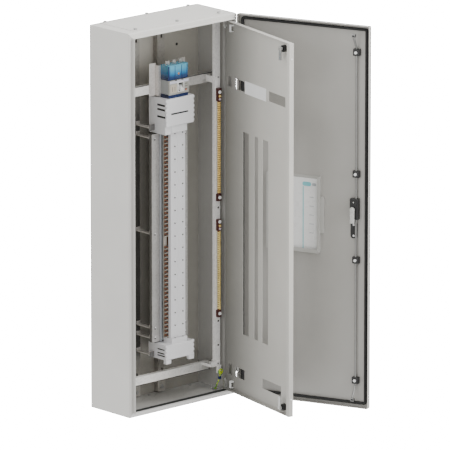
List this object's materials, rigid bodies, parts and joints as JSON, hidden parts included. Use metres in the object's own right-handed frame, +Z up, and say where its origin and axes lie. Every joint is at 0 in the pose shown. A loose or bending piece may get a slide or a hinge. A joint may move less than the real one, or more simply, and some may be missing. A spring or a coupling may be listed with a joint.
{
  "type": "switchboard cabinet",
  "caption": "Wall-mounted steel switchboard cabinet with a gasketed outer door, a slotted inner door, a busbar chassis for two rows of breakers, a main switch and terminal bars",
  "frame": {"origin": "centre of the four wall fixing holes, on the back plane of the cabinet", "axes": "+X to the cabinet's hinged side (right as seen from the front), +Y into the wall, +Z up; the doors open towards -Y"},
  "size_m": [0.8484, 0.8014, 1.638],
  "materials": {
    "powder_coat_light_grey": "fine-textured powder coat",
    "galvanised_steel": "pre-galvanised, faint spangle",
    "zinc_plated_steel": "bright zinc plate",
    "blue_grey_plastic": "moulded, satin",
    "copper": "bare copper, slightly tarnished",
    "white_plastic": "moulded, satin",
    "switch_grey_plastic": "moulded, satin",
    "blue_plastic": "moulded, glossy",
    "toggle_cream_plastic": "moulded, satin",
    "red_plastic": "moulded, satin",
    "brass": "machined brass",
    "earth_brass": "machined brass, greenish",
    "maroon_plastic": "moulded, satin",
    "earth_cable": "green and yellow cable sheath",
    "black_rubber": "foamed seal, matt",
    "black_plastic": "moulded, satin",
    "pocket_plastic": "moulded, satin",
    "card": "coated card"
  },
  "bodies": {
    "cabinet": {"side_wall_left": "powder_coat_light_grey", "side_wall_right": "powder_coat_light_grey", "roof": "powder_coat_light_grey", "floor": "powder_coat_light_grey", "rear_panel": "powder_coat_light_grey", "entry_plates": "powder_coat_light_grey", "entry_plate_screws": "zinc_plated_steel", "rear_rails": "galvanised_steel", "cross_rails": "galvanised_steel", "rail_brackets": "galvanised_steel", "depth_bars": "galvanised_steel", "chassis_pan": "galvanised_steel", "frame_screws": "zinc_plated_steel", "busbar_base": "blue_grey_plastic", "phase_bar_1": "copper", "phase_bar_2": "copper", "phase_bar_3": "copper", "busbar_cover": "white_plastic", "cover_screws": "white_plastic", "upper_shroud": "white_plastic", "lower_shroud": "white_plastic", "switch_plate": "powder_coat_light_grey", "switch_body": "switch_grey_plastic", "switch_front_cover": "switch_grey_plastic", "terminal_covers": "blue_plastic", "line_terminals": "zinc_plated_steel", "accessory_rail": "galvanised_steel", "neutral_bar": "brass", "earth_bar": "earth_brass", "terminal_bar_screws": "zinc_plated_steel", "terminal_bar_holders": "maroon_plastic", "terminal_bar_bolts": "zinc_plated_steel", "earth_fittings": "earth_brass", "earth_lead": "earth_cable", "outer_hinge_frame_halves": "zinc_plated_steel", "inner_hinge_brackets": "galvanised_steel", "quarter_turn_strikes": "galvanised_steel"},
    "outer_door": {"outer_door_panel": "powder_coat_light_grey", "outer_door_gasket": "black_rubber", "outer_hinge_door_halves": "zinc_plated_steel", "rod_guides": "black_plastic", "lock_case": "black_plastic", "handle_escutcheon": "black_plastic", "handle_counterplate": "black_plastic", "document_pocket": "pocket_plastic", "document_card": "card"},
    "handle": {"swing_handle": "black_plastic", "lock_spindle": "zinc_plated_steel"},
    "upper_rod": {"upper_lock_rod": "zinc_plated_steel"},
    "lower_rod": {"lower_lock_rod": "zinc_plated_steel"},
    "inner_door": {"inner_door_panel": "powder_coat_light_grey", "switch_window_plate": "white_plastic", "inner_hinge_pins": "zinc_plated_steel", "quarter_turn_bodies": "black_plastic", "inner_door_fittings": "white_plastic"},
    "upper_quarter_turn": {"upper_quarter_turn_cam": "zinc_plated_steel"},
    "lower_quarter_turn": {"lower_quarter_turn_cam": "zinc_plated_steel"},
    "toggle": {"toggle": "toggle_cream_plastic"},
    "trip_button": {"trip_button": "red_plastic"}
  },
  "joints": [
    {"name": "outer_door_swing", "type": "hinge", "parent": "cabinet", "child": "outer_door", "pos_m": [0.297, -0.2485, 0], "axis": [0, 0, 1], "range_deg": [-112.7, 12]},
    {"name": "inner_door_swing", "type": "hinge", "parent": "cabinet", "child": "inner_door", "pos_m": [0.2675, -0.203, 0], "axis": [0, 0, 1], "range_deg": [-78.3, 8.4]},
    {"name": "handle_turn", "type": "hinge", "parent": "outer_door", "child": "handle", "pos_m": [0.52943, -0.72252, 0.035], "axis": [-0.9225, -0.3859, 0], "range_deg": [0, 90]},
    {"name": "upper_rod_slide", "type": "slide", "parent": "outer_door", "child": "upper_rod", "axis": [0, 0, 1], "range_m": [0, 0.016]},
    {"name": "lower_rod_slide", "type": "slide", "parent": "outer_door", "child": "lower_rod", "axis": [0, 0, -1], "range_m": [0, 0.016]},
    {"name": "upper_quarter_turn_spin", "type": "hinge", "parent": "inner_door", "child": "upper_quarter_turn", "pos_m": [0.16763, -0.67046, 0.756], "axis": [-0.9792, 0.2028, 0], "range_deg": [0, 90]},
    {"name": "lower_quarter_turn_spin", "type": "hinge", "parent": "inner_door", "child": "lower_quarter_turn", "pos_m": [0.16763, -0.67046, -0.763], "axis": [-0.9792, 0.2028, 0], "range_deg": [-90, 0]},
    {"name": "toggle_swing", "type": "hinge", "parent": "cabinet", "child": "toggle", "pos_m": [0.036, -0.172, 0.531], "axis": [1, 0, 0], "range_deg": [-40, 0]},
    {"name": "trip_button_press", "type": "slide", "parent": "cabinet", "child": "trip_button", "axis": [0, 1, 0], "range_m": [0, 0.002], "stiffness_N_per_m": 300, "springref_m": -0.0005}
  ],
  "couplings": [
    {"joint": "inner_door_swing", "follows": "outer_door_swing", "ratio": 0.6947},
    {"joint": "upper_rod_slide", "follows": "handle_turn", "m_per_rad": 0.01018},
    {"joint": "lower_rod_slide", "follows": "handle_turn", "m_per_rad": 0.01018}
  ]
}
